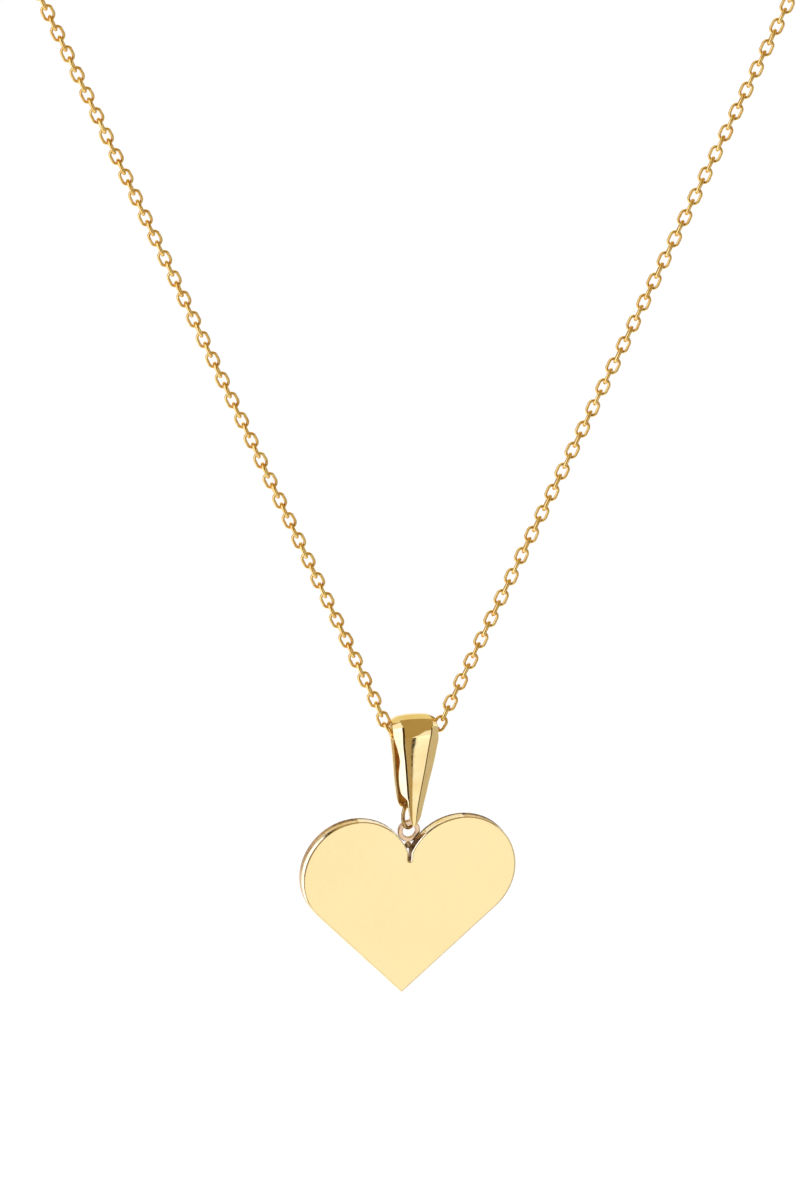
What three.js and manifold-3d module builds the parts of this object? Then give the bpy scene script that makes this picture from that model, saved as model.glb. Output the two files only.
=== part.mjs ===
// A gold heart pendant on a fine trace chain, hanging as it does from a neck.
// Millimetres, +Z up, front towards -Y. The origin is the middle of the clasp, the top of the loop.
import * as THREE from "three";
import { mergeVertices } from "three/addons/utils/BufferGeometryUtils.js";
import Module from "manifold-3d";

const wasm = await Module();
wasm.setup();

// ---- driving dimensions ----
const bailTop = -151; // height of the bail's outer top under the origin

const lobeRadius = 5.52;
const lobeCentre = 5.32; // of each lobe, from the heart's middle
const tipDepth = 12.6; // the point, under the line through the lobe centres
const plateThickness = 1.2;
const plateBevel = 0.2;
const cleftSlotHalf = 0.17; // the saw cut at the bottom of the cleft
const cleftSlotBottom = 1.1; // above the line through the lobe centres

const eyeHeight = 4.0; // the eye's centre, above the line through the lobe centres
const eyeRadius = 1.11;
const eyeHole = 0.64;
const eyeThickness = 0.42;
const solderRadius = 0.34;
const solderGap = 0.06; // between the bead and the eye

const heartTilt = 5; // degrees, point backwards: the eye sits near the plate's back
const heartRoll = 2; // degrees, point to the left
const eyeDrop = 11.7; // the eye's centre, under the bail's top
const ringOffset = 0.05; // the hang ring and the eye, behind the chain
const ringAside = -0.12; // the hang ring has settled a little to the left
const eyeAside = -0.22; // and the eye a little more

const ringRadius = 1.35; // the hang ring between bail and eye, to the middle of its wire
const ringWire = 0.19;
const ringTurn = 45; // degrees between the hang ring's plane and the heart's
const ringDrop = 10.03; // the hang ring's centre, under the bail's top

const strapThickness = 0.26;
const facetSlope = 0.52; // how fast the strap's side facets fall away from its creases

const linkWire = 0.155; // half the wire's thickness across the link
const linkWireFlat = 0.19; // and half its thickness along the link's axis
const linkWidth = 1.32;
const linkLength = 1.78;
const linkPitch = 1.14;
const linkFace = new THREE.Vector3(-0.273, -0.922, 0.276); // where every second link shows its face
const endLinks = 3; // links made one by one at each end of the chain
const bailLinks = 7; // and inside the bail
const tubeGap = 0.3; // between a plain run of chain and the first single link
const runSteps = 38;
const routeSamples = 4000;

const claspRadius = 2.1; // the spring ring, to the middle of its tube
const claspTube = 0.6;
const claspBore = 0.42;
const mouthAngle = 25; // degrees from the gap's middle to each mouth of the tube
const boltWire = 0.34;
const boltReach = 4; // degrees that the closed bolt enters the far mouth
const boltSpan = 120; // degrees of ring that the bolt's rod takes up
const boltTravel = 50; // degrees
const knobAngle = 140; // of the thumb knob when closed, from +X
const knobRadius = 0.17;
const knobLength = 0.75;
const slotSpare = 6; // degrees of the thumb slot beyond each end of the knob's travel
const springStop = -20; // degrees, where the spring's far end rests
const springSpare = 3; // degrees between the spring and the bolt
const springWire = 0.05;
const springRadius = 0.29;
const springTurns = 10;
const fitGap = 0.02; // between pieces that rest on each other
const eyeletRadius = 0.55; // the clasp's own eye
const eyeletWire = 0.2;
const jumpWire = 0.16; // the two jump rings at the chain's ends
const claspJumpRadius = 0.85;
const catchJumpRadius = 0.65;
const catchRadius = 1.25; // the ring that the clasp closes on
const catchWire = 0.22;
const catchPlay = 0.12; // between the catch ring and the bolt
const jumpPlay = 0.05; // between a jump ring and the ring that it passes through

// ---- helpers ----
function metal(color, roughness) {
  return new THREE.MeshStandardMaterial({ color, roughness, metalness: 1 });
}

const gold = metal(0xf2d79a, 0.18);
const chainGold = metal(0xe3aa45, 0.25);
const roseGold = metal(0xdcb08c, 0.35);
const steel = metal(0xb9b9b6, 0.35);
const radians = THREE.MathUtils.degToRad;
const necklace = new THREE.Group();

function put(parent, name, geometry, material) {
  const mesh = new THREE.Mesh(geometry, material);
  mesh.name = name;
  parent.add(mesh);
  return mesh;
}

function toSolid(geometry) {
  const bare = geometry.index ? geometry.toNonIndexed() : geometry.clone();
  bare.deleteAttribute("normal");
  bare.deleteAttribute("uv");
  const merged = mergeVertices(bare, 1e-4);
  const vertProperties = merged.attributes.position.array;
  const triVerts = new Uint32Array(merged.index.array);
  return new wasm.Manifold(new wasm.Mesh({ numProp: 3, vertProperties, triVerts }));
}

function toGeometry(solid) {
  const made = solid.getMesh();
  const geometry = new THREE.BufferGeometry();
  geometry.setAttribute("position", new THREE.BufferAttribute(made.vertProperties, 3));
  geometry.setIndex(new THREE.BufferAttribute(made.triVerts, 1));
  geometry.computeVertexNormals();
  return geometry;
}

// A closed ring of round wire, lying in the XY plane.
function ringOf(radius, wire, sides = 8, steps = 24) {
  return new THREE.TorusGeometry(radius, wire, sides, steps);
}

// A polygon that stands for a disc.
function disc(radius, corners) {
  const points = [];
  for (let i = 0; i < corners; i++) {
    const angle = (2 * Math.PI * i) / corners;
    points.push(new THREE.Vector2(radius * Math.cos(angle), radius * Math.sin(angle)));
  }
  return new THREE.Shape(points);
}

// A length of wire or tube with the given section, along a curve.
function sweep(section, extrudePath, steps) {
  return new THREE.ExtrudeGeometry(section, { steps, extrudePath });
}

// A solid through closed cross-sections that all have the same number of points.
function loft(sections) {
  const count = sections[0].length;
  const positions = sections.flat().flatMap((p) => [p.x, p.y, p.z]);
  const triangles = [];
  for (let s = 0; s + 1 < sections.length; s++) {
    for (let i = 0; i < count; i++) {
      const a = s * count + i;
      const b = s * count + ((i + 1) % count);
      triangles.push(a, b, b + count, a, b + count, a + count);
    }
  }
  const last = (sections.length - 1) * count;
  const capOutline = sections[0].map((p) => new THREE.Vector2(p.u, p.v));
  for (const [a, b, c] of THREE.ShapeUtils.triangulateShape(capOutline, [])) {
    triangles.push(c, b, a, last + a, last + b, last + c);
  }
  const geometry = new THREE.BufferGeometry();
  geometry.setAttribute("position", new THREE.Float32BufferAttribute(positions, 3));
  geometry.setIndex(triangles);
  return geometry;
}

// ---- the chain's route ----
// Points as [x, z]; each strand is a straight line up to the shoulder of the loop.
const rightStrand = { slope: 0.503, foot: bailTop - 7 }; // foot: the height where x would be 0
const leftStrand = { slope: -0.4565, foot: bailTop - 6.26 };
const strandHeights = [bailTop + 1.2, bailTop + 30, bailTop + 72, -30];
const onStrand = ({ slope, foot }) => (z) => [slope * (z - foot), z];
const route = [
  [5.15, 0],
  [22, -0.3],
  [38.5, -1.2],
  [53, -3],
  [62.5, -6.2],
  [67, -12.5],
  [67.2, -20],
  ...strandHeights.map(onStrand(rightStrand)).reverse(),
  [2.98, bailTop - 1.05],
  [2.5, bailTop - 1.56],
  [1.8, bailTop - 1.74],
  [0.95, bailTop - 1.6],
  [0, bailTop - 1.5],
  [-0.9, bailTop - 1.6],
  [-1.6, bailTop - 1.7],
  [-2.12, bailTop - 1.46],
  [-2.45, bailTop - 0.95],
  ...strandHeights.map(onStrand(leftStrand)),
  [-61.7, -20],
  [-61.7, -12.5],
  [-57.2, -6.2],
  [-48, -3],
  [-34.8, -1.2],
  [-20, -0.3],
  [-4.59, 0],
];
const chainCurve = new THREE.CatmullRomCurve3(route.map(([x, z]) => new THREE.Vector3(x, 0, z)));
chainCurve.arcLengthDivisions = routeSamples;
const chainLength = chainCurve.getLength();
const linkCount = 2 * Math.round(chainLength / linkPitch / 2);
const pitch = chainLength / linkCount;

function chainAt(along) {
  return chainCurve.getPointAt(THREE.MathUtils.clamp(along / chainLength, 0, 1));
}

// ---- single links ----
// A link is a wire ring drawn apart into an oval along X.
function linkGeometry() {
  const bend = (linkWidth - 2 * linkWire) / 2;
  const geometry = ringOf(bend, linkWire, 6, 16);
  const stretch = (linkLength - linkWidth) / 2;
  const points = geometry.attributes.position;
  for (let i = 0; i < points.count; i++) {
    const x = points.getX(i);
    const onMiddle = Math.abs(x) < fitGap;
    points.setX(i, onMiddle ? 0 : x + stretch * Math.sign(x));
  }
  return geometry.scale(1, 1, linkWireFlat / linkWire);
}

function addLink(index, name) {
  const middle = (index + 0.5) * pitch;
  const along = chainAt(middle + pitch / 2).sub(chainAt(middle - pitch / 2)).normalize();
  const face = linkFace.clone().addScaledVector(along, -linkFace.dot(along)).normalize();
  const side = new THREE.Vector3().crossVectors(face, along);
  const facing = index % 2 === 1 ? [along, side, face] : [along, face.clone().negate(), side];
  const link = put(necklace, name, linkGeometry(), chainGold);
  link.setRotationFromMatrix(new THREE.Matrix4().makeBasis(...facing));
  link.position.copy(chainAt(middle));
}

// ---- plain runs of chain ----
// An eight-sided tube between two lengths along the route.
function addRun(name, from, to) {
  const points = [];
  for (let i = 0; i <= runSteps; i++) {
    points.push(chainAt(THREE.MathUtils.lerp(from, to, i / runSteps)));
  }
  const path = new THREE.CatmullRomCurve3(points);
  put(necklace, name, sweep(disc(linkWidth / 2, 8), path, runSteps), chainGold);
}

function addChain() {
  const toBail = chainLength - lengthFromBail();
  const firstBailLink = Math.round(toBail / pitch - bailLinks / 2);
  for (let i = 0; i < endLinks; i++) {
    addLink(i, `right_end_link_${i + 1}`);
    addLink(linkCount - 1 - i, `left_end_link_${i + 1}`);
  }
  for (let i = 0; i < bailLinks; i++) {
    addLink(firstBailLink + i, `bail_link_${i + 1}`);
  }
  const afterBail = firstBailLink + bailLinks;
  addRun("chain_right", endLinks * pitch + tubeGap, firstBailLink * pitch - tubeGap);
  addRun("chain_left", afterBail * pitch + tubeGap, (linkCount - endLinks) * pitch - tubeGap);
}

// The length of chain from the bail's middle to the left end.
function lengthFromBail() {
  const samples = chainCurve.getSpacedPoints(routeSamples);
  const nearest = samples.reduce((best, p, i) => {
    const inBail = p.z < bailTop + 1;
    return inBail && Math.abs(p.x) < Math.abs(samples[best].x) ? i : best;
  }, 0);
  return chainLength * (1 - nearest / routeSamples);
}

// ---- bail ----
// A folded strap, from its front tip over the top, down the back and in to the front again:
// [y, z under the bail's top, left half width, right half width, left crease, right crease].
const strap = [
  [-1.2, -10.85, 0.26, 0.14, 0.2, 0.06],
  [-1.27, -10.2, 0.52, 0.64, 0.44, 0.14],
  [-1.34, -9.2, 0.64, 0.86, 0.54, 0.26],
  [-1.4, -8.2, 0.76, 1.1, 0.64, 0.42],
  [-1.44, -7.6, 1.34, 1.24, 0.7, 0.5],
  [-1.51, -6.5, 1.54, 1.48, 0.8, 0.7],
  [-1.56, -5.4, 1.59, 1.78, 0.9, 0.9],
  [-1.6, -4.2, 1.47, 2.07, 1, 1.1],
  [-1.63, -3, 1.74, 2.3, 1.14, 1.3],
  [-1.63, -2.3, 1.94, 2.46, 1.2, 1.42],
  [-1.58, -1.6, 2.1, 2.4, 1.2, 1.58],
  [-1.25, -0.75, 2.14, 2.38, 1.22, 1.76],
  [-0.64, -0.27, 2.14, 2.36, 1.3, 1.76],
  [0, -0.13, 2.1, 2.28, 1.35, 1.7],
  [0.64, -0.27, 2.02, 2.15, 1.4, 1.6],
  [1.25, -0.75, 1.92, 2, 1.5, 1.6],
  [1.58, -1.6, 1.8, 1.86, 1.5, 1.56],
  [1.65, -2.9, 1.62, 1.74, 1.36, 1.48],
  [1.67, -4.6, 1.42, 1.58, 1.18, 1.34],
  [1.63, -6.4, 1.3, 1.38, 1.08, 1.16],
  [1.56, -7.8, 1.16, 1.16, 0.94, 0.94],
  [1.48, -8.9, 0.99, 0.94, 0.78, 0.74],
  [1.34, -9.5, 0.8, 0.66, 0.6, 0.5],
  [0.98, -9.74, 0.4, 0.34, 0.26, 0.22],
  [0.5, -9.6, 0.27, 0.27, 0.16, 0.16],
  [-0.2, -9.48, 0.26, 0.26, 0.15, 0.15],
  [-1.08, -9.47, 0.26, 0.26, 0.15, 0.15],
];

function strapLoft() {
  const line = new THREE.CatmullRomCurve3(strap.map(([y, z]) => new THREE.Vector3(0, y, z)));
  const steps = 3 * (strap.length - 1);
  const sections = [];
  for (let i = 0; i <= steps; i++) {
    const at = line.getPoint(i / steps);
    const along = line.getTangent(i / steps);
    const out = new THREE.Vector3(0, -along.z, along.y);
    const station = (i * (strap.length - 1)) / steps;
    const low = strap[Math.floor(station)];
    const high = strap[Math.ceil(station)];
    const widths = [2, 3, 4, 5].map((k) => THREE.MathUtils.lerp(low[k], high[k], station % 1));
    sections.push(strapSection(...widths).map(([u, v]) => sectionPoint(at, out, u, v)));
  }
  return loft(sections.reverse());
}

function sectionPoint(at, out, u, v) {
  const point = at.clone().addScaledVector(out, v);
  point.x = u;
  return Object.assign(point, { u, v });
}

// Across the strap: a flat middle and two side facets, all one thickness.
function strapSection(left, right, leftCrease, rightCrease) {
  const leftDrop = facetSlope * (left - leftCrease);
  const rightDrop = facetSlope * (right - rightCrease);
  const face = strapThickness / 2;
  return [
    [-left, face - leftDrop],
    [-left, -face - leftDrop],
    [-leftCrease, -face],
    [rightCrease, -face],
    [right, -face - rightDrop],
    [right, face - rightDrop],
    [rightCrease, face],
    [-leftCrease, face],
  ];
}

function addBail() {
  const [endY, endZ, endHalf] = strap.at(-1);
  const seamSide = 0.85 * strapThickness;
  const seam = new THREE.BoxGeometry(1.6 * endHalf, 2 * seamSide, seamSide);
  seam.translate(0, endY, endZ);
  const joined = toSolid(strapLoft()).add(toSolid(seam));
  const bail = put(necklace, "bail", toGeometry(joined), gold);
  bail.position.z = bailTop;
}

// ---- hang ring ----
function addHangRing() {
  const ring = put(necklace, "hang_ring", ringOf(ringRadius, ringWire, 8, 24), gold);
  ring.rotation.set(Math.PI / 2, 0, radians(ringTurn), "ZYX");
  ring.position.set(ringAside, ringOffset, bailTop - ringDrop);
}

// ---- heart ----
// The outline in XZ: the right lobe, the round bottom of the cleft, the left lobe, then the point.
function heartShape() {
  const toLobe = Math.hypot(lobeCentre, tipDepth);
  const sideAngle = Math.atan2(lobeCentre, tipDepth) + Math.asin(lobeRadius / toLobe);
  const slotTop = Math.sqrt(lobeRadius ** 2 - (lobeCentre - cleftSlotHalf) ** 2);
  const cleftAngle = Math.atan2(slotTop, lobeCentre - cleftSlotHalf);
  const shape = new THREE.Shape();
  shape.absarc(lobeCentre, 0, lobeRadius, -sideAngle, Math.PI - cleftAngle, false);
  shape.absarc(0, cleftSlotBottom + cleftSlotHalf, cleftSlotHalf, 0, -Math.PI, true);
  shape.absarc(-lobeCentre, 0, lobeRadius, cleftAngle, Math.PI + sideAngle, false);
  shape.lineTo(0, -tipDepth);
  return shape;
}

function heartPlate() {
  const geometry = new THREE.ExtrudeGeometry(heartShape(), {
    depth: plateThickness - 2 * plateBevel,
    bevelThickness: plateBevel,
    bevelSize: plateBevel,
    bevelOffset: -plateBevel,
    bevelSegments: 1,
    curveSegments: 28,
  });
  geometry.translate(0, 0, -plateThickness / 2 + plateBevel);
  return geometry.rotateX(Math.PI / 2);
}

// A flat washer with its back face level with the plate's back.
function heartEye() {
  const shape = new THREE.Shape().absarc(0, 0, eyeRadius, 0, 2 * Math.PI);
  shape.holes.push(new THREE.Path().absarc(0, 0, eyeHole, 0, 2 * Math.PI, true));
  const geometry = new THREE.ExtrudeGeometry(shape, {
    depth: eyeThickness,
    bevelEnabled: false,
    curveSegments: 12,
  });
  geometry.rotateX(Math.PI / 2);
  return geometry.translate(0, plateThickness / 2, eyeHeight);
}

function addHeart() {
  const eyeBehind = plateThickness / 2 - eyeThickness / 2;
  const swung = new THREE.Group();
  swung.rotation.set(radians(heartTilt), radians(heartRoll), 0);
  swung.position.set(eyeAside, ringOffset, bailTop - eyeDrop);
  const heart = new THREE.Group();
  heart.position.set(0, -eyeBehind, -eyeHeight);
  put(heart, "heart_plate", heartPlate(), gold);
  put(heart, "heart_eye", heartEye(), roseGold);
  const solder = put(heart, "solder_bead", new THREE.SphereGeometry(solderRadius, 12, 8), gold);
  solder.position.set(0, eyeBehind, eyeHeight - eyeRadius - solderRadius - solderGap);
  swung.add(heart);
  necklace.add(swung);
}

// ---- clasp ----
// Part of a circle in the XY plane, from one angle to another in degrees.
class Arc extends THREE.Curve {
  constructor(from, to, radius = claspRadius) {
    super();
    Object.assign(this, { from: radians(from), to: radians(to), radius });
  }
  getPoint(t, target = new THREE.Vector3()) {
    const angle = THREE.MathUtils.lerp(this.from, this.to, t);
    return target.set(this.radius * Math.cos(angle), this.radius * Math.sin(angle), 0);
  }
}

// A coil wound round an arc of the clasp's ring.
class Coil extends Arc {
  getPoint(t, target = new THREE.Vector3()) {
    const angle = THREE.MathUtils.lerp(this.from, this.to, t);
    const wound = 2 * Math.PI * springTurns * t;
    const out = claspRadius + springRadius * Math.cos(wound);
    return target.set(out * Math.cos(angle), out * Math.sin(angle), springRadius * Math.sin(wound));
  }
}

function claspTubeRing() {
  const section = disc(claspTube, 16);
  section.holes.push(new THREE.Path(disc(claspBore, 16).getPoints()));
  return sweep(section, new Arc(mouthAngle - 180, 180 - mouthAngle), 54);
}

// What the slot for the thumb knob takes out of the tube's outer side.
function thumbSlot() {
  const halfWidth = knobRadius + 0.05;
  const section = new THREE.Shape([
    new THREE.Vector2(-claspTube / 2, -halfWidth),
    new THREE.Vector2(claspTube / 2, -halfWidth),
    new THREE.Vector2(claspTube / 2, halfWidth),
    new THREE.Vector2(-claspTube / 2, halfWidth),
  ]);
  const path = new Arc(knobAngle + slotSpare, knobAngle - boltTravel - slotSpare, claspRadius + claspTube);
  return sweep(section, path, 12);
}

function addClaspBody() {
  const body = toSolid(claspTubeRing()).subtract(toSolid(thumbSlot()));
  put(necklace, "clasp_body", toGeometry(body), gold);
}

const boltNose = 180 + mouthAngle + boltReach;
const boltTail = boltNose - boltSpan;

function addBolt() {
  put(necklace, "clasp_bolt", sweep(disc(boltWire, 12), new Arc(boltNose, boltTail), 20), gold);
}

// The knob's profile turns round the line that it stands out along.
function addKnob() {
  const profile = [
    [0, 0],
    [knobRadius, 0],
    [knobRadius, 0.45 * knobLength],
    [2 * knobRadius, 0.6 * knobLength],
    [2 * knobRadius, 0.85 * knobLength],
    [knobRadius, knobLength],
    [0, knobLength],
  ].map(([x, y]) => new THREE.Vector2(x, y));
  const knob = put(necklace, "clasp_knob", new THREE.LatheGeometry(profile, 12), gold);
  const angle = radians(knobAngle);
  knob.rotation.z = angle - Math.PI / 2;
  knob.position.set(Math.cos(angle), Math.sin(angle), 0);
  knob.position.multiplyScalar(claspRadius + boltWire + fitGap);
}

function addSpring() {
  const path = new Coil(springStop, boltTail - springSpare);
  put(necklace, "clasp_spring", sweep(disc(springWire, 6), path, 9 * springTurns), steel);
}

const eyeletPlace = claspRadius + claspTube + fitGap + eyeletWire + eyeletRadius;

function addClaspEye() {
  const eyelet = put(necklace, "clasp_eye", ringOf(eyeletRadius, eyeletWire), gold);
  eyelet.position.x = eyeletPlace;
}

// ---- rings at the chain's ends ----
function addClaspJumpRing() {
  const hook = eyeletPlace + eyeletRadius - eyeletWire - jumpWire - jumpPlay;
  const ring = put(necklace, "clasp_jump_ring", ringOf(claspJumpRadius, jumpWire), gold);
  ring.rotation.x = Math.PI / 2;
  ring.position.x = hook + claspJumpRadius;
}

function addCatchRings() {
  const catchPlace = boltWire + catchWire + catchPlay - claspRadius - catchRadius;
  const catchRing = put(necklace, "catch_ring", ringOf(catchRadius, catchWire, 10, 32), gold);
  catchRing.rotation.x = Math.PI / 2;
  catchRing.position.x = catchPlace;
  const hook = catchPlace - catchRadius + catchWire + jumpWire + jumpPlay;
  const jumpRing = put(necklace, "catch_jump_ring", ringOf(catchJumpRadius, jumpWire), gold);
  jumpRing.position.x = hook - catchJumpRadius;
}

addChain();
addBail();
addHangRing();
addHeart();
addClaspBody();
addBolt();
addKnob();
addSpring();
addClaspEye();
addClaspJumpRing();
addCatchRings();

export default necklace;
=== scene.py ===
"""The looks of a gold heart pendant on a fine trace chain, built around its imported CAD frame."""

import math
import random

import bpy
import numpy as np
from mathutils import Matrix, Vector
from mathutils.geometry import tessellate_polygon


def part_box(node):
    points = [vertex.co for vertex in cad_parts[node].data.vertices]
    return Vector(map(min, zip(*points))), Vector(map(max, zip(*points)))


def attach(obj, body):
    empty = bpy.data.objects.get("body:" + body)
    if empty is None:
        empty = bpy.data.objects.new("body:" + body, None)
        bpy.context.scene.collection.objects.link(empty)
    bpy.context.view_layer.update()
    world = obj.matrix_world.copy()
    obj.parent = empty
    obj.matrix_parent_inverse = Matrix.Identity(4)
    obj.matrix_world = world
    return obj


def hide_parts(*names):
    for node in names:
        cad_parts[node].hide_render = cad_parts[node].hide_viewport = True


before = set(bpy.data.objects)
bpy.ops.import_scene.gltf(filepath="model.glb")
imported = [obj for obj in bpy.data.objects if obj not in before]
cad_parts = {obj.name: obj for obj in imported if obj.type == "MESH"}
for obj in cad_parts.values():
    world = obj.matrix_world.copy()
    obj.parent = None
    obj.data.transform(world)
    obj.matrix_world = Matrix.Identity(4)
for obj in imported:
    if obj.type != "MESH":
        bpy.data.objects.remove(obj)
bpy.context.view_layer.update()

MM = 0.001
BAIL_TOP = -151.0  # millimetres under the origin, as the CAD has it

VIEW_AZIMUTH = math.radians(-16.5)
VIEW_ELEVATION = math.radians(16)
VIEW_DISTANCE = 1.3
VIEW_END = 50  # metres; nothing further off is drawn
SENSOR = 36
FRAME_HEIGHT = 0.1164  # what the picture covers from top to bottom at the pendant
TARGET_RIGHT = -1.07 * MM  # the picture's middle, from the bail's top
TARGET_UP = 11.16 * MM

SEED = 7
draw = random.Random(SEED)


# ---- curves ----
def catmull_rom(points, steps):
    """Points on a centripetal Catmull-Rom curve, with so many steps between one point and the next."""
    p = np.array(points, float)
    p = np.vstack([2 * p[0] - p[1], p, 2 * p[-1] - p[-2]])
    made = []
    for a, b, c, d in zip(p, p[1:], p[2:], p[3:]):
        ab, bc, cd = (max(np.linalg.norm(e) ** 0.5, 1e-4) for e in (b - a, c - b, d - c))
        start = ((b - a) / ab - (c - a) / (ab + bc) + (c - b) / bc) * bc
        end = ((c - b) / bc - (d - b) / (bc + cd) + (d - c) / cd) * bc
        t = np.linspace(0, 1, steps, endpoint=False)[:, None]
        square, cube = t**2, t**3
        made.append(
            b * (1 + 2 * cube - 3 * square)
            + c * (3 * square - 2 * cube)
            + start * (cube - 2 * square + t)
            + end * (cube - square)
        )
    return np.vstack(made + [p[-2:-1]])


def unit(v):
    v = np.array(v, float)
    return v / np.linalg.norm(v)


def smooth(values, times=4):
    """Softens the corners of a row of numbers, keeping its ends."""
    for _ in range(times):
        middle = (values[:-2] + 2 * values[1:-1] + values[2:]) / 4
        values = np.concatenate([values[:1], middle, values[-1:]])
    return values


# ---- meshes ----
def add_piece(name, vertices, faces, material, body, smooth=True):
    """A mesh given in millimetres, riding on a CAD body."""
    mesh = bpy.data.meshes.new(name)
    mesh.from_pydata([tuple(MM * c for c in v) for v in vertices], [], faces)
    mesh.validate()
    if smooth:
        mesh.shade_smooth()
    mesh.materials.append(material)
    piece = bpy.data.objects.new(name, mesh)
    bpy.context.collection.objects.link(piece)
    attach(piece, body)
    return piece


def loft_faces(rows, count, closed, caps):
    """Quads between rows of vertices that each close into a loop, with end caps if asked for."""
    faces = []
    for r in range(rows if closed else rows - 1):
        low, high = r * count, ((r + 1) % rows) * count
        for i in range(count):
            j = (i + 1) % count
            faces.append((low + i, low + j, high + j, high + i))
    if caps:
        faces.append(tuple(reversed(range(count))))
        faces.append(tuple((rows - 1) * count + i for i in range(count)))
    return faces


def wire_ring(centre, along, side, radius, wire, stretch=0.0, flat=None, steps=28, sides=12):
    """A closed wire ring in the plane of along and side, drawn apart along its length.

    Wire is half the wire's thickness, and flat is the same across that plane, if it differs.
    """
    along, side = unit(along), unit(side)
    face = np.cross(along, side)
    vertices = []
    for i in range(steps):
        angle = 2 * math.pi * (i + 0.5) / steps
        out = math.cos(angle) * along + math.sin(angle) * side
        middle = centre + radius * out + stretch * np.sign(math.cos(angle)) * along
        for k in range(sides):
            turn = 2 * math.pi * k / sides
            aside = (flat or wire) * math.sin(turn) * face
            vertices.append(middle + wire * math.cos(turn) * out + aside)
    return vertices, loft_faces(steps, sides, closed=True, caps=False)


# ---- materials ----
class Nodes:
    """Short ways to add shader nodes to one material."""

    def __init__(self, name):
        self.material = bpy.data.materials.new(name)
        self.material.use_nodes = True
        self.tree = self.material.node_tree
        self.shader = self.tree.nodes["Principled BSDF"]
        self.place = self.add("ShaderNodeTexCoord").outputs["Object"]

    def add(self, kind, links=(), **values):
        node = self.tree.nodes.new(kind)
        for key, value in values.items():
            if key in node.inputs:
                node.inputs[key].default_value = value
            else:
                setattr(node, key, value)
        for socket, source in links:
            self.tree.links.new(source, node.inputs[socket])
        return node

    def noise(self, scale, detail=3.0, stretch=None):
        """Noise with its grain given per millimetre, stretched if asked."""
        vector = self.place
        if stretch:
            mapping = self.add("ShaderNodeMapping", [("Vector", vector)])
            mapping.inputs["Scale"].default_value = stretch
            vector = mapping.outputs["Vector"]
        made = self.add("ShaderNodeTexNoise", [("Vector", vector)], Scale=scale / MM, Detail=detail)
        return made.outputs["Fac"]

    def spread(self, value, low, high, start=0.35, end=0.65):
        made = self.add("ShaderNodeMapRange", [("Value", value)])
        for socket, number in zip(("From Min", "From Max", "To Min", "To Max"), (start, end, low, high)):
            made.inputs[socket].default_value = number
        return made.outputs["Result"]

    def blend(self, factor, first, second):
        made = self.add("ShaderNodeMix", [("Factor", factor)], data_type="RGBA")
        made.inputs["A"].default_value = (*first, 1)
        made.inputs["B"].default_value = (*second, 1)
        return made.outputs["Result"]

    def bump(self, height, strength, depth):
        """Bump with its depth given in millimetres."""
        made = self.add("ShaderNodeBump", [("Height", height)], Strength=strength, Distance=depth * MM)
        return made.outputs["Normal"]

    def link(self, source, socket):
        self.tree.links.new(source, self.shader.inputs[socket])


GLOSS_GRAIN = 3.0
WAVE_GRAIN = 0.5
WAVE_STRENGTH = 0.6
RIDGE_GRAIN = 2.2
RIDGE_LENGTH = (1.0, 0.06, 1.0)  # drawn out along y, so that the ridges run through the plate
RIDGE_DEPTH = 0.05
# painted shade on the sawn wall: near black between the ridges, dark brown on their tops
SAWN_GROOVE_SHADE = (0.10, 0.045, 0.012)
SAWN_RIDGE_SHADE = (0.46, 0.27, 0.10)
# painted light: the colour the sawn wall is painted towards the left
SAWN_LIGHTER_LEFT = (0.80, 0.56, 0.36)
LIGHTER_LEFT_FROM = -7.5 * MM  # going left, where the sawn wall starts to be painted lighter
LIGHTER_LEFT_FULLY = -9.8 * MM


def gold(name, pale, deep, smoothest, roughest, grain=1.2, wave=0.004):
    """Gold whose colour and gloss drift a little, over a faint wave."""
    nodes = Nodes(name)
    nodes.shader.inputs["Metallic"].default_value = 1.0
    nodes.link(nodes.blend(nodes.spread(nodes.noise(grain), 0, 1), pale, deep), "Base Color")
    gloss = nodes.noise(GLOSS_GRAIN, detail=5.0)
    nodes.link(nodes.spread(gloss, smoothest, roughest), "Roughness")
    nodes.link(nodes.bump(nodes.noise(WAVE_GRAIN, detail=2.0), WAVE_STRENGTH, wave), "Normal")
    return nodes.material


def sawn_wall_with_painted_shade(name):
    """The heart's sawn wall: fine ridges through the plate, in painted shade that is darkest between
    them, painted lighter towards the left.
    """
    nodes = Nodes(name)
    nodes.shader.inputs["Metallic"].default_value = 1.0
    ridges = nodes.noise(RIDGE_GRAIN, detail=4.0, stretch=RIDGE_LENGTH)
    across = nodes.add("ShaderNodeSeparateXYZ", [("Vector", nodes.place)]).outputs["X"]
    # painted light: the sawn wall lighter towards the left
    lighter_left = nodes.spread(across, 1, 0, LIGHTER_LEFT_FULLY, LIGHTER_LEFT_FROM)
    # painted shade: the ridges' colour, darkest between them
    dark = nodes.blend(nodes.spread(ridges, 0, 1), SAWN_GROOVE_SHADE, SAWN_RIDGE_SHADE)
    light = nodes.add("ShaderNodeMix", [("Factor", lighter_left), ("A", dark)], data_type="RGBA")
    light.inputs["B"].default_value = (*SAWN_LIGHTER_LEFT, 1)
    nodes.link(light.outputs["Result"], "Base Color")
    nodes.shader.inputs["Roughness"].default_value = 0.42
    nodes.link(nodes.bump(ridges, 1.0, RIDGE_DEPTH), "Normal")
    return nodes.material


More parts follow.
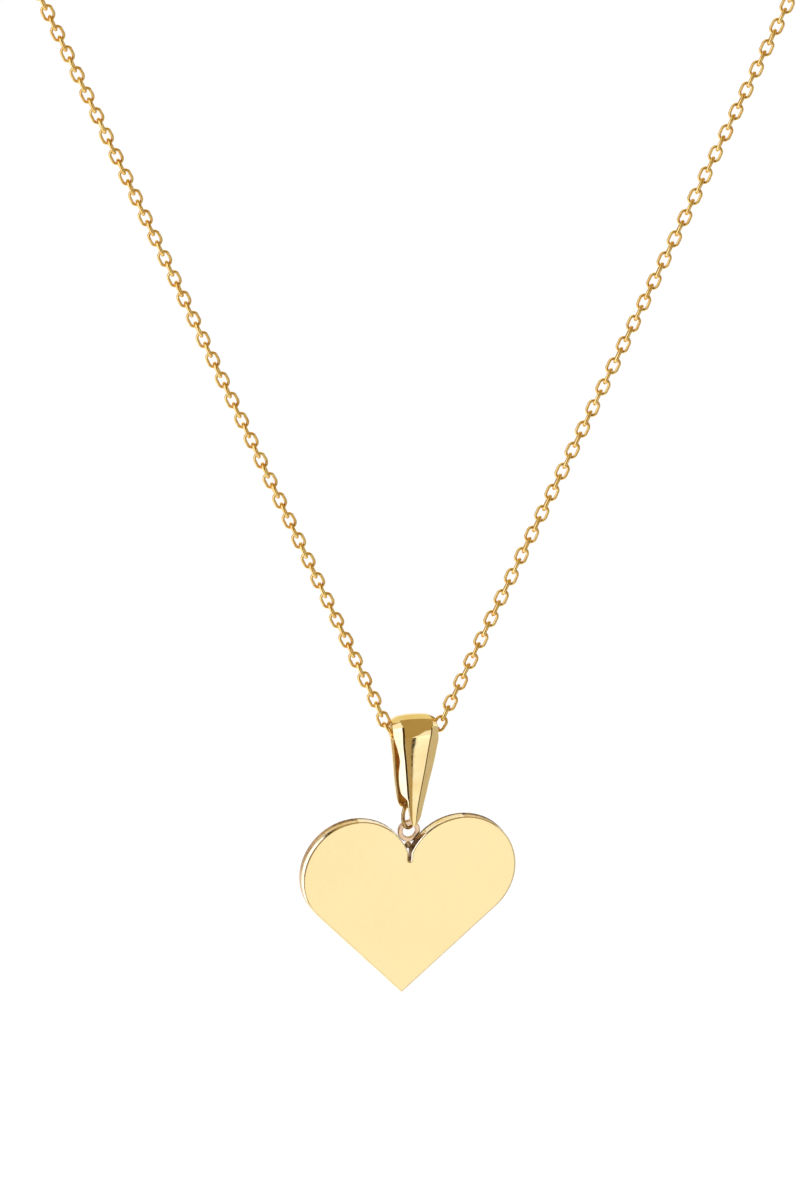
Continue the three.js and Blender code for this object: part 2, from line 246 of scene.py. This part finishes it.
chain_gold = gold("chain_gold", (0.92, 0.66, 0.22), (0.84, 0.52, 0.14), 0.08, 0.2, grain=0.9)
bail_gold = gold("bail_gold", (1.0, 0.82, 0.44), (0.96, 0.74, 0.34), 0.05, 0.12, grain=0.5)
# the strap's unpolished inside, its colour darkened to orange-brown as painted shade
raw_gold_painted_shade = gold("raw_gold_painted_shade", (0.88, 0.47, 0.09), (0.50, 0.24, 0.03), 0.35, 0.5, grain=2.2)
# the filed wall next to the front: filed gold, its colour painted paler than the sawn wall as painted
# light
filed_gold_painted_light = gold("filed_gold_painted_light", (0.92, 0.74, 0.40), (0.70, 0.47, 0.18), 0.25, 0.4, grain=2.5)
plate_gold = gold(
    "plate_gold", (0.99, 0.81, 0.43), (0.98, 0.79, 0.41), 0.11, 0.14, grain=0.1, wave=0.0015
)
edge_gold = gold("edge_gold", (1.0, 0.86, 0.55), (0.97, 0.76, 0.40), 0.08, 0.2, grain=1.5)
solder_gold = gold(
    "solder_gold", (0.82, 0.60, 0.40), (0.76, 0.53, 0.34), 0.12, 0.2, grain=1.4, wave=0.002
)
# the solder bead, its colour painted pale cream as painted light where the plate shades it in the cleft
bead_gold_painted_light = gold("bead_gold_painted_light", (1.0, 0.90, 0.64), (0.98, 0.82, 0.50), 0.5, 0.65, grain=1.4)
# the hang ring, its colour painted dark, down to near black, as painted shade
ring_gold_painted_shade = gold("ring_gold_painted_shade", (0.72, 0.50, 0.20), (0.26, 0.14, 0.04), 0.2, 0.4, grain=2.6)
clasp_gold = gold("clasp_gold", (0.98, 0.76, 0.36), (0.92, 0.64, 0.25), 0.08, 0.2, grain=0.6)
spring_steel = gold("spring_steel", (0.62, 0.61, 0.59), (0.45, 0.44, 0.43), 0.2, 0.35, grain=4.0)
# the sawn wall's material, mostly painted shade
sawn_gold_painted_shade = sawn_wall_with_painted_shade("sawn_gold_painted_shade")


# ---- camera ----
def add_camera():
    a, e = VIEW_AZIMUTH, VIEW_ELEVATION
    back = Vector((math.sin(a) * math.cos(e), -math.cos(a) * math.cos(e), math.sin(e)))
    right = Vector((math.cos(a), math.sin(a), 0))
    up = back.cross(right)
    target = Vector((0, 0, BAIL_TOP * MM)) + TARGET_RIGHT * right + TARGET_UP * up
    data = bpy.data.cameras.new("camera")
    data.sensor_width = SENSOR
    data.lens = data.sensor_width * VIEW_DISTANCE / FRAME_HEIGHT
    data.clip_end = VIEW_END
    camera = bpy.data.objects.new("camera", data)
    camera.location = target + VIEW_DISTANCE * back
    camera.rotation_mode = "QUATERNION"
    camera.rotation_quaternion = (-back).to_track_quat("-Z", "Y")
    bpy.context.collection.objects.link(camera)
    bpy.context.scene.camera = camera


add_camera()

# ---- chain ----
LINK_WIRE = 0.155  # half the wire's thickness across the link
LINK_WIRE_FLAT = 0.19  # and half its thickness along the link's axis
LINK_WIDTH = 1.32
LINK_LENGTH = 1.78
LINK_PITCH = 1.14
LINK_STEPS = 22
LINK_SIDES = 10
LINK_FACE = np.array([-0.273, -0.922, 0.276])  # the way that every second link faces
LINK_LEAN = 5  # degrees that a link may be turned about the chain
LINK_SWAY = 0.03  # how far a link may lean off the chain's line, for a length of 1
RIGHT_STRAND = (0.503, BAIL_TOP - 7)  # its slope, and the height where x would be 0
LEFT_STRAND = (-0.4565, BAIL_TOP - 6.26)
STRAND_HEIGHTS = (BAIL_TOP + 1.2, BAIL_TOP + 30, BAIL_TOP + 72, -30)
ROUTE_STEPS = 160
END_LINKS = 3
BAIL_LINKS = 7


def on_strand(strand):
    slope, foot = strand
    return [(slope * (z - foot), 0, z) for z in STRAND_HEIGHTS]


# From the clasp's jump ring over the right shoulder, through the bail and up to the catch's jump ring.
ROUTE = [
    (5.15, 0, 0),
    (22, 0, -0.3),
    (38.5, 0, -1.2),
    (53, 0, -3),
    (62.5, 0, -6.2),
    (67, 0, -12.5),
    (67.2, 0, -20),
    *reversed(on_strand(RIGHT_STRAND)),
    (2.98, 0, BAIL_TOP - 1.05),
    (2.5, 0, BAIL_TOP - 1.56),
    (1.8, 0, BAIL_TOP - 1.74),
    (0.95, 0, BAIL_TOP - 1.6),
    (0, 0, BAIL_TOP - 1.5),
    (-0.9, 0, BAIL_TOP - 1.6),
    (-1.6, 0, BAIL_TOP - 1.7),
    (-2.12, 0, BAIL_TOP - 1.46),
    (-2.45, 0, BAIL_TOP - 0.95),
    *on_strand(LEFT_STRAND),
    (-61.7, 0, -20),
    (-61.7, 0, -12.5),
    (-57.2, 0, -6.2),
    (-48, 0, -3),
    (-34.8, 0, -1.2),
    (-20, 0, -0.3),
    (-4.59, 0, 0),
]
line = catmull_rom(ROUTE, ROUTE_STEPS)
lengths = np.concatenate([[0], np.cumsum(np.linalg.norm(np.diff(line, axis=0), axis=1))])
link_count = 2 * round(lengths[-1] / LINK_PITCH / 2)
pitch = lengths[-1] / link_count


def chain_at(along):
    return np.array([np.interp(along, lengths, line[:, k]) for k in range(3)])


def add_links(name, first, last, nodes):
    """Links first to last of the chain as one cord of soldered links."""
    vertices, faces = [], []
    for index in range(first, last):
        middle = (index + 0.5) * pitch
        along = unit(chain_at(middle + pitch / 2) - chain_at(middle - pitch / 2))
        face = unit(LINK_FACE - LINK_FACE.dot(along) * along)
        side = np.cross(face, along)
        lean = math.radians(draw.uniform(-LINK_LEAN, LINK_LEAN)) + (0 if index % 2 else math.pi / 2)
        side = math.cos(lean) * side + math.sin(lean) * face
        along = unit(along + LINK_SWAY * draw.uniform(-1, 1) * side)
        bend = LINK_WIDTH / 2 - LINK_WIRE
        stretch = (LINK_LENGTH - LINK_WIDTH) / 2
        made, quads = wire_ring(
            chain_at(middle),
            along,
            side,
            bend,
            LINK_WIRE,
            stretch,
            flat=LINK_WIRE_FLAT,
            steps=LINK_STEPS,
            sides=LINK_SIDES,
        )
        start = len(vertices)
        vertices += made
        faces += [tuple(start + i for i in quad) for quad in quads]
    piece = add_piece(name, vertices, faces, chain_gold, "necklace")
    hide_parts(*nodes)
    path = [MM * chain_at(i * pitch) for i in range(first, last + 1)]
    if first:
        path.reverse()
    return piece


def middle_link():
    """The link nearest the middle of the bail."""
    hung = [i for i in range(link_count) if chain_at((i + 0.5) * pitch)[2] < BAIL_TOP]
    return min(hung, key=lambda i: abs(chain_at((i + 0.5) * pitch)[0]))


centre_link = middle_link()
right_ends = [f"right_end_link_{i + 1}" for i in range(END_LINKS)]
left_ends = [f"left_end_link_{i + 1}" for i in range(END_LINKS)]
in_bail = [f"bail_link_{i + 1}" for i in range(BAIL_LINKS)]
add_links("chain_right_links", 0, centre_link, ["chain_right", *right_ends, *in_bail[:3]])
add_links("chain_left_links", centre_link, link_count, ["chain_left", *left_ends, *in_bail[3:]])


# ---- bail ----
# Along the strap from the front tip, over the top, down the back and in to the front again:
# [y, z under the top, left half, right half, left crease, right crease].
STRAP = [
    (-1.2, -10.85, 0.26, 0.14, 0.20, 0.06),
    (-1.27, -10.2, 0.52, 0.64, 0.44, 0.14),
    (-1.34, -9.2, 0.64, 0.86, 0.54, 0.26),
    (-1.4, -8.2, 0.76, 1.10, 0.64, 0.42),
    (-1.44, -7.6, 1.34, 1.24, 0.70, 0.50),
    (-1.51, -6.5, 1.54, 1.48, 0.80, 0.70),
    (-1.56, -5.4, 1.59, 1.78, 0.90, 0.90),
    (-1.6, -4.2, 1.47, 2.07, 1.00, 1.10),
    (-1.63, -3.0, 1.74, 2.30, 1.14, 1.30),
    (-1.63, -2.3, 1.94, 2.46, 1.20, 1.42),
    (-1.58, -1.6, 2.10, 2.40, 1.20, 1.58),
    (-1.25, -0.75, 2.14, 2.38, 1.22, 1.76),
    (-0.64, -0.27, 2.14, 2.36, 1.30, 1.76),
    (0, -0.13, 2.10, 2.28, 1.35, 1.70),
    (0.64, -0.27, 2.02, 2.15, 1.40, 1.60),
    (1.25, -0.75, 1.92, 2.00, 1.50, 1.60),
    (1.58, -1.6, 1.80, 1.86, 1.50, 1.56),
    (1.65, -2.9, 1.62, 1.74, 1.36, 1.48),
    (1.67, -4.6, 1.42, 1.58, 1.18, 1.34),
    (1.63, -6.4, 1.30, 1.38, 1.08, 1.16),
    (1.56, -7.8, 1.16, 1.16, 0.94, 0.94),
    (1.48, -8.9, 0.99, 0.94, 0.78, 0.74),
    (1.34, -9.5, 0.80, 0.66, 0.60, 0.50),
    (0.98, -9.74, 0.40, 0.34, 0.26, 0.22),
    (0.5, -9.6, 0.27, 0.27, 0.16, 0.16),
    (-0.2, -9.48, 0.26, 0.26, 0.15, 0.15),
    (-1.28, -9.47, 0.26, 0.26, 0.15, 0.15),
]
STRAP_STEPS = 6
STRAP_THICKNESS = 0.26
FACET_SLOPE = 0.52  # of the two side facets, backwards
CROWN = 0.07  # how far the middle facet stands proud along its middle, for a half width of 1 mm
LEFT_CREASE = 0.1  # half the width of the softened corner between two facets
RIGHT_CREASE = 0.09
BESIDE_CREASE = 1.2  # of that half width: where the facet's own points begin
SIDE_POINTS = 4
MIDDLE_POINTS = 9
RIM = 0.04  # the softened corner at each edge of the strap
POLISHED_INSIDE = 7  # strips of the inside that are polished, next to each edge


def strap_section(left, right, crease_left, crease_right):
    """One section of the strap: across its outer side, then back across its inner side."""
    crown = CROWN * (crease_left + crease_right) / 2

    def surface(u):
        if u < -crease_left:
            return -FACET_SLOPE * (-crease_left - u)
        if u > crease_right:
            return -FACET_SLOPE * (u - crease_right)
        share = (2 * u + crease_left - crease_right) / (crease_left + crease_right)
        return crown * (1 - share**2)

    across = [-left + RIM]
    on_left = min(LEFT_CREASE, crease_left / 3, (left - crease_left) / 3)
    on_right = min(RIGHT_CREASE, crease_right / 3, (right - crease_right) / 3)
    beside_left = BESIDE_CREASE * on_left
    beside_right = BESIDE_CREASE * on_right
    across += list(np.linspace(-left + 2 * RIM, -crease_left - beside_left, SIDE_POINTS))
    across += [-crease_left - on_left, -crease_left + on_left]
    across += list(np.linspace(-crease_left + beside_left, crease_right - beside_right, MIDDLE_POINTS))
    across += [crease_right - on_right, crease_right + on_right]
    across += list(np.linspace(crease_right + beside_right, right - 2 * RIM, SIDE_POINTS))
    across += [right - RIM]
    half = STRAP_THICKNESS / 2
    outer = [(u, surface(u) + half) for u in across]
    inner = [(u, surface(u) - half) for u in across]
    left_fall = surface(-left)
    right_fall = surface(right)
    left_rim = [(-left, left_fall - half + RIM), (-left, left_fall + half - RIM)]
    right_rim = [(right, right_fall + half - RIM), (right, right_fall - half + RIM)]
    return outer + right_rim + inner[::-1] + left_rim


def add_bail():
    """The strap as one loft, polished outside and raw inside with painted shade darkening it, apart from
    strips beside its edges.
    """
    stations = catmull_rom([(y, z, 0) for y, z, *_ in STRAP], STRAP_STEPS)
    steps = len(stations)
    along = np.gradient(stations, axis=0)
    share = np.linspace(0, len(STRAP) - 1, steps)
    widths = [np.interp(share, range(len(STRAP)), [s[k] for s in STRAP]) for k in range(2, 6)]
    widths = [smooth(w) for w in widths]
    vertices, count = [], 0
    for i in range(steps):
        dy, dz, _ = unit(along[i])
        y, z, _ = stations[i]
        section = strap_section(*(w[i] for w in widths))
        count = len(section)
        for u, v in section:
            vertices.append((u, y - v * dz, BAIL_TOP + z + v * dy))
    faces = loft_faces(steps, count, closed=False, caps=True)
    bail = add_piece("bail_strap", vertices, faces, bail_gold, "bail")
    bail.data.materials.append(raw_gold_painted_shade)
    left_rim_points = 2
    inside = range(count // 2 + POLISHED_INSIDE, count - left_rim_points - POLISHED_INSIDE)
    kinds = [1 if i in inside else 0 for i in range(count)] * (steps - 1) + [0, 0]
    bail.data.polygons.foreach_set("material_index", kinds)
    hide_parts("bail")


add_bail()

# ---- hang ring ----
RING_RADIUS = 1.35
RING_WIRE = 0.19
RING_TURN = math.radians(45)
RING_CENTRE = np.array([-0.12, 0.05, BAIL_TOP - 10.03])
RING_STEPS = 64
RING_SIDES = 16


def add_hang_ring():
    level = (math.cos(RING_TURN), math.sin(RING_TURN), 0)
    made = wire_ring(
        RING_CENTRE, level, (0, 0, 1), RING_RADIUS, RING_WIRE, steps=RING_STEPS, sides=RING_SIDES
    )
    ring = add_piece("hang_ring_wire", *made, ring_gold_painted_shade, "hang_ring")
    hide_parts("hang_ring")


add_hang_ring()

# ---- heart ----
LOBE_RADIUS = 5.52
LOBE_CENTRE = 5.32
TIP_DEPTH = 12.6
PLATE = 1.2
BEVEL = 0.2
RIM_PROFILE = ((0.34, 0), (0.27, 0.012), (0.2, 0.045), (0, BEVEL))  # inset and fall, from face to wall
WIDE_RIM_WAY = np.array([-0.94, 0.34])  # the rim is as wide as that where the left lobe faces this way
WIDE_RIM_FADE = 4
WIDE_RIM_FROM = 4  # and so far left of the middle at least
WIDE_RIM_BLEND = 3
NARROW_RIM = 0.4  # of that profile, everywhere else
OUTLINE_STEP = 0.11
SLOT_HALF = 0.17
SLOT_BOTTOM = 1.1
EYE_HEIGHT = 4.0
EYE_RADIUS = 1.11
EYE_HOLE = 0.64
EYE_THICKNESS = 0.42
EYE_SOFT = 0.05  # its softened corners
EYE_STEPS = 72
SOLDER_RADIUS = 0.34
SOLDER_GAP = 0.06
SOLDER_RINGS = 12
SOLDER_STEPS = 24
SOLDER_LUMPS = 0.07
SOLDER_FLATTENED = 0.8
HEART_TILT = math.radians(5)
HEART_ROLL = math.radians(2)
SAW_DEPTH = 0.015
NICK_DEPTH = 0.4 * SAW_DEPTH
WALL_STRIPS = 6
FILED_LIT_STRIPS = 3  # of the wall next to the front, that are filed smoother and painted paler as painted light
POLISHED_STRIPS = 5  # of the wall on the lobes' slopes towards the cleft, that are polished
CLEFT_HALF = 0.8  # the wall nearer the middle than this is left as it was sawn, in the sawn wall's painted shade
ON_FACE, POLISHED, SAWN_AND_SHADED, FILED_AND_LIT = range(4)  # the plate's materials, in their order
EYE_BEHIND = PLATE / 2 - EYE_THICKNESS / 2
HANG_POINT = np.array([-0.22, 0.05, BAIL_TOP - 11.7])


def hang(points):
    """From the heart's own frame, with its lobe line at z = 0, to where it hangs."""
    p = np.array(points, float) - [0, EYE_BEHIND, EYE_HEIGHT]
    roll_c, roll_s = math.cos(HEART_ROLL), math.sin(HEART_ROLL)
    tilt_c, tilt_s = math.cos(HEART_TILT), math.sin(HEART_TILT)
    roll = np.array([[roll_c, 0, roll_s], [0, 1, 0], [-roll_s, 0, roll_c]])
    tilt = np.array([[1, 0, 0], [0, tilt_c, -tilt_s], [0, tilt_s, tilt_c]])
    return p @ (tilt @ roll).T + HANG_POINT


def arc(x, z, radius, start, end, step):
    count = max(2, round(abs(end - start) * radius / step))
    angles = np.linspace(start, end, count + 1)
    return [(x + radius * math.cos(a), z + radius * math.sin(a)) for a in angles]


def heart_outline():
    """The plate's outline in its own plane, anticlockwise from the point."""
    step = OUTLINE_STEP
    tip_to_lobe = math.hypot(LOBE_CENTRE, TIP_DEPTH)
    side = math.atan2(LOBE_CENTRE, TIP_DEPTH) + math.asin(LOBE_RADIUS / tip_to_lobe)
    slot_angle = math.acos((LOBE_CENTRE - SLOT_HALF) / LOBE_RADIUS)
    right = arc(LOBE_CENTRE, 0, LOBE_RADIUS, -side, math.pi - slot_angle, step)
    slot_top = LOBE_RADIUS * math.sin(slot_angle)
    slot_base = SLOT_BOTTOM + SLOT_HALF
    down = [(SLOT_HALF, z) for z in np.arange(slot_top - step, slot_base, -step)]
    bottom = arc(0, slot_base, SLOT_HALF, 0, -math.pi, step / 2)
    tip = np.array([0, -TIP_DEPTH])
    count = round(math.dist(tip, right[0]) / step)
    rise = [tuple(tip + (np.array(right[0]) - tip) * i / count) for i in range(count)]
    half = rise + right + down
    return half + bottom + [(-x, z) for x, z in reversed(half[1:])]


def wall_kinds(outline, normal):
    """Which material each face of the wall has, strip by strip from the front."""
    kinds = []
    for strip in range(WALL_STRIPS):
        for (x, z), (nx, _) in zip(outline, normal):
            in_cleft = abs(x) < CLEFT_HALF and z > 0
            inner_slope = x * nx < 0 and z > 0 and not in_cleft
            if inner_slope and strip < POLISHED_STRIPS:
                kinds.append(POLISHED)
            elif strip < FILED_LIT_STRIPS and not inner_slope and not in_cleft:
                kinds.append(FILED_AND_LIT)
            else:
                kinds.append(SAWN_AND_SHADED)
    return kinds


def add_heart_plate():
    """Two polished faces, a bright bevel round each, and the wall between them, in painted shade that is
    painted lighter next to the front.
    """
    half = PLATE / 2
    outer = np.array(heart_outline())
    count = len(outer)
    tangent = np.roll(outer, -1, axis=0) - np.roll(outer, 1, axis=0)
    tangent /= np.linalg.norm(tangent, axis=1)[:, None]
    normal = np.column_stack([tangent[:, 1], -tangent[:, 0]])
    saw = np.array([draw.uniform(-1, 1) for _ in range(count)])[:, None]

    def row(outline, depth):
        depths = np.broadcast_to(depth, (count, 1))
        return [(x, y, z) for (x, z), (y,) in zip(outline, depths)]

    facing = np.clip(normal @ WIDE_RIM_WAY, 0, 1) ** WIDE_RIM_FADE
    on_lobe = np.clip((-outer[:, 0] - WIDE_RIM_FROM) / WIDE_RIM_BLEND, 0, 1)
    share = (NARROW_RIM + (1 - NARROW_RIM) * facing * on_lobe)[:, None]
    rim = [(outer - inset * share * normal, fall * share) for inset, fall in RIM_PROFILE]
    rows = [row(outline, -half + fall) for outline, fall in rim]
    for depth in np.linspace(-1, 1, WALL_STRIPS + 1)[1:-1]:
        nicks = np.array([[draw.uniform(-1, 0)] for _ in range(count)])
        cut = SAW_DEPTH * (saw - 1) + NICK_DEPTH * nicks
        rows.append(row(outer + cut * normal, depth * (half - BEVEL)))
    rows += [row(outline, half - fall) for outline, fall in reversed(rim)]
    faces = loft_faces(len(rows), count, closed=False, caps=False)
    bevelled = [POLISHED] * count * (len(rim) - 1)
    kinds = bevelled + wall_kinds(outer, normal) + bevelled
    last = (len(rows) - 1) * count
    for a, b, c in tessellate_polygon([[Vector((x, z, 0)) for x, z in rim[0][0]]]):
        faces += [(a, b, c), (last + c, last + b, last + a)]
        kinds += [ON_FACE, ON_FACE]
    vertices = hang([v for r in rows for v in r])
    plate = add_piece("heart_plate_gold", vertices, faces, plate_gold, "heart", smooth=False)
    plate.data.materials.append(edge_gold)
    plate.data.materials.append(sawn_gold_painted_shade)
    plate.data.materials.append(filed_gold_painted_light)
    plate.data.polygons.foreach_set("material_index", kinds)
    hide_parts("heart_plate")


def add_heart_eye():
    """A flat washer with softened corners."""
    soft = EYE_SOFT
    flat = 1.5 * soft  # where a flat face begins
    low, high = PLATE / 2 - EYE_THICKNESS, PLATE / 2
    profile = [
        (EYE_HOLE, low + soft),
        (EYE_HOLE + soft, low),
        (EYE_HOLE + flat, low),
        (EYE_RADIUS - flat, low),
        (EYE_RADIUS - soft, low),
        (EYE_RADIUS, low + soft),
        (EYE_RADIUS, high - soft),
        (EYE_RADIUS - soft, high),
        (EYE_RADIUS - flat, high),
        (EYE_HOLE + flat, high),
        (EYE_HOLE + soft, high),
        (EYE_HOLE, high - soft),
    ]
    vertices = []
    for i in range(EYE_STEPS):
        angle = 2 * math.pi * i / EYE_STEPS
        vertices += [(r * math.cos(angle), y, EYE_HEIGHT + r * math.sin(angle)) for r, y in profile]
    faces = loft_faces(EYE_STEPS, len(profile), closed=True, caps=False)
    eye = add_piece("heart_eye_washer", hang(vertices), faces, solder_gold, "heart")
    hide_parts("heart_eye")


def add_solder():
    """A lump of solder, lower at its sides than a ball."""
    rings, steps = SOLDER_RINGS, SOLDER_STEPS
    centre = np.array([0, EYE_BEHIND, EYE_HEIGHT - EYE_RADIUS - SOLDER_RADIUS - SOLDER_GAP])
    vertices = [centre + [0, 0, -SOLDER_RADIUS]]
    for r in range(1, rings):
        polar = math.pi * r / rings - math.pi / 2
        for s in range(steps):
            turn = 2 * math.pi * s / steps
            lump = SOLDER_RADIUS * (1 + SOLDER_LUMPS * math.sin(3 * turn + 2 * polar))
            out = lump * math.cos(polar)
            x = out * math.cos(turn)
            y = SOLDER_FLATTENED * out * math.sin(turn)
            vertices.append(centre + [x, y, lump * math.sin(polar)])
    vertices.append(centre + [0, 0, SOLDER_RADIUS])
    last = len(vertices) - 1
    faces = []
    for s in range(steps):
        after = (s + 1) % steps
        faces.append((0, 1 + after, 1 + s))
        top = 1 + (rings - 2) * steps
        faces.append((last, top + s, top + after))
        for r in range(rings - 2):
            low = 1 + r * steps
            faces.append((low + s, low + after, low + steps + after, low + steps + s))
    bead = add_piece("solder_lump", hang(vertices), faces, bead_gold_painted_light, "heart")
    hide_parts("solder_bead")


add_heart_plate()
add_heart_eye()
add_solder()

# ---- clasp ----
EYELET_RADIUS = 0.55
EYELET_WIRE = 0.2
CATCH_RADIUS = 1.25
CATCH_WIRE = 0.22
CLASP_JUMP_RADIUS = 0.85
CATCH_JUMP_RADIUS = 0.65
JUMP_WIRE = 0.16
ROUND_STEPS = 56
ROUND_SIDES = 14


def dress(material, *nodes):
    """Gives CAD nodes that stay as they are a finished material."""
    for node in nodes:
        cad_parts[node].data.materials.clear()
        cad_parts[node].data.materials.append(material)


def add_round_ring(name, node, radius, wire, level, slot):
    """A smooth wire ring in place of a faceted CAD ring; level rings lie flat, the others stand."""
    low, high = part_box(node)
    centre = (np.array(low) + np.array(high)) / 2 / MM
    side = (0, 1, 0) if level else (0, 0, 1)
    made = wire_ring(centre, (1, 0, 0), side, radius, wire, steps=ROUND_STEPS, sides=ROUND_SIDES)
    material = chain_gold if slot == "chain_gold" else clasp_gold
    ring = add_piece(name, *made, material, "necklace")
    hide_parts(node)


add_round_ring("clasp_eyelet", "clasp_eye", EYELET_RADIUS, EYELET_WIRE, True, "pendant_gold")
add_round_ring("catch_wire", "catch_ring", CATCH_RADIUS, CATCH_WIRE, False, "pendant_gold")
add_round_ring("clasp_jump_wire", "clasp_jump_ring", CLASP_JUMP_RADIUS, JUMP_WIRE, False, "chain_gold")
add_round_ring("catch_jump_wire", "catch_jump_ring", CATCH_JUMP_RADIUS, JUMP_WIRE, True, "chain_gold")
dress(clasp_gold, "clasp_body", "clasp_bolt", "clasp_knob")
dress(spring_steel, "clasp_spring")


# ---- studio ----
def plain(name, colour, glow=0.0):
    material = bpy.data.materials.new(name)
    material.use_nodes = True
    shader = material.node_tree.nodes["Principled BSDF"]
    shader.inputs["Base Color"].default_value = (*colour, 1)
    shader.inputs["Roughness"].default_value = 0.9
    shader.inputs["Emission Color"].default_value = (*colour, 1)
    shader.inputs["Emission Strength"].default_value = glow
    return material


def add_sheet(name, corners, faces, material, seen):
    """A stage card; one that isn't seen shows only in reflections."""
    mesh = bpy.data.meshes.new(name)
    mesh.from_pydata(corners, [], faces)
    mesh.materials.append(material)
    card = bpy.data.objects.new(name, mesh)
    bpy.context.collection.objects.link(card)
    if not seen:
        card.visible_camera = False
        card.visible_shadow = False
        card.visible_diffuse = False
    return card


def glowing(name, colour, bottom=1.0):
    """Plain light, which can fade from the card's top to its bottom."""
    emitter = bpy.data.materials.new(name)
    emitter.use_nodes = True
    tree = emitter.node_tree
    tree.nodes.clear()
    glow = tree.nodes.new("ShaderNodeEmission")
    glow.inputs["Color"].default_value = (*colour, 1)
    height = tree.nodes.new("ShaderNodeTexCoord")
    axes = tree.nodes.new("ShaderNodeSeparateXYZ")
    fade = tree.nodes.new("ShaderNodeMapRange")
    fade.inputs["To Min"].default_value = bottom
    out = tree.nodes.new("ShaderNodeOutputMaterial")
    tree.links.new(height.outputs["Generated"], axes.inputs["Vector"])
    tree.links.new(axes.outputs["Z"], fade.inputs["Value"])
    tree.links.new(fade.outputs["Result"], glow.inputs["Strength"])
    tree.links.new(glow.outputs["Emission"], out.inputs["Surface"])
    return emitter


def upright_card(name, columns, distance, colour, bottom=1.0):
    """A card curved round the pendant: columns of azimuth, lowest rise and highest rise, in degrees."""
    centre_z = (BAIL_TOP - 12) * MM
    corners = []
    for azimuth, *rises in columns:
        a = math.radians(azimuth)
        for rise in rises:
            z = centre_z + distance * math.tan(math.radians(rise))
            corners.append((distance * math.sin(a), -distance * math.cos(a), z))
    faces = [(2 * i, 2 * i + 2, 2 * i + 3, 2 * i + 1) for i in range(len(columns) - 1)]
    return add_sheet(name, corners, faces, glowing(name, colour, bottom), seen=False)


FLOOR = -1.6  # metres; the upright cards nearer than 1 m end above it
FLOOR_REACH = 9
CEILING = 1.1
PAPER = (0.95, 0.95, 0.95)
PAPER_GLOW = 0.07
OLIVE = (0.43, 0.31, 0.13)
BROWN = (0.30, 0.21, 0.09)
TAN = (0.45, 0.34, 0.18)
UMBER = (0.12, 0.09, 0.05)
NEAR_BLACK = (0.05, 0.035, 0.015)
BLACK = (0.02, 0.015, 0.01)
GREY = (0.60, 0.55, 0.47)
PALE_YELLOW = (0.83, 0.74, 0.46)
WHITE = (1.4, 1.4, 1.5)
COOL_WHITE = (1.5, 1.55, 2.1)


def level_corners(left, right, front, back, height):
    return [(left, front, height), (right, front, height), (right, back, height), (left, back, height)]


ONE_FACE = [(0, 1, 2, 3)]
floor_corners = level_corners(-FLOOR_REACH, FLOOR_REACH, -FLOOR_REACH, FLOOR_REACH, FLOOR)
add_sheet("floor", floor_corners, ONE_FACE, plain("paper", PAPER, PAPER_GLOW), seen=True)
dark_corners = level_corners(-0.5, 2.3, -2.3, 0.25, CEILING)
add_sheet("dark_ceiling", dark_corners, ONE_FACE, glowing("dark_ceiling", OLIVE), seen=False)
ceiling_corners = level_corners(-1.2, 1.8, 0.25, 2.2, CEILING)
add_sheet("ceiling", ceiling_corners, ONE_FACE, glowing("ceiling", PALE_YELLOW), seen=False)

room_columns = [(-30, 12, 44), (-12, -4, 44), (8, -4, 44), (24, 14, 44), (75, 18, 44)]
upright_card("dark_room", room_columns, 2.4, OLIVE)
upright_card("dark_strip", [(-10, -45, -3), (11, -45, -3)], 0.7, TAN)
upright_card("black_line", [(8.5, -22, -21), (11, -20.5, -4), (14, -16, -4)], 0.69, BLACK)
upright_card("bright_patch", [(13, -24, 0), (34, -24, 0)], 0.9, WHITE, bottom=0.7)
upright_card("left_gap", [(-37, -50, 40), (-11, -50, 40)], 0.75, NEAR_BLACK)
upright_card("right_gap", [(36, -50, 20), (56, -50, 20)], 0.8, UMBER)
upright_card("right_grey", [(56, -60, 14), (80, -60, 14), (120, -60, 14)], 1.2, GREY)
upright_card("dark_right", [(a, -8, 50) for a in range(105, 151, 15)], 2.6, BROWN)
upright_card("dark_left", [(a, -8, 50) for a in range(205, 256, 10)], 2.6, BROWN)
upright_card("left_white", [(-100, -60, 35), (-65, -60, 35), (-37, -60, 35)], 1.2, COOL_WHITE)

world = bpy.data.worlds.new("studio")
bpy.context.scene.world = world
world.use_nodes = True
world.node_tree.nodes["Background"].inputs["Color"].default_value = (1, 1, 1, 1)
world.node_tree.nodes["Background"].inputs["Strength"].default_value = 1.0


def add_light(name, place, size, power):
    data = bpy.data.lights.new(name, "AREA")
    data.size = size
    data.energy = power
    light = bpy.data.objects.new(name, data)
    light.location = place
    aim = Vector((0, 0, BAIL_TOP * MM)) - Vector(place)
    light.rotation_mode = "QUATERNION"
    light.rotation_quaternion = aim.to_track_quat("-Z", "Y")
    light.visible_glossy = False
    bpy.context.collection.objects.link(light)


add_light("softbox_top", place=(0.3, -0.4, 1.6), size=1.4, power=9)
bpy.context.scene.view_settings.view_transform = "Standard"
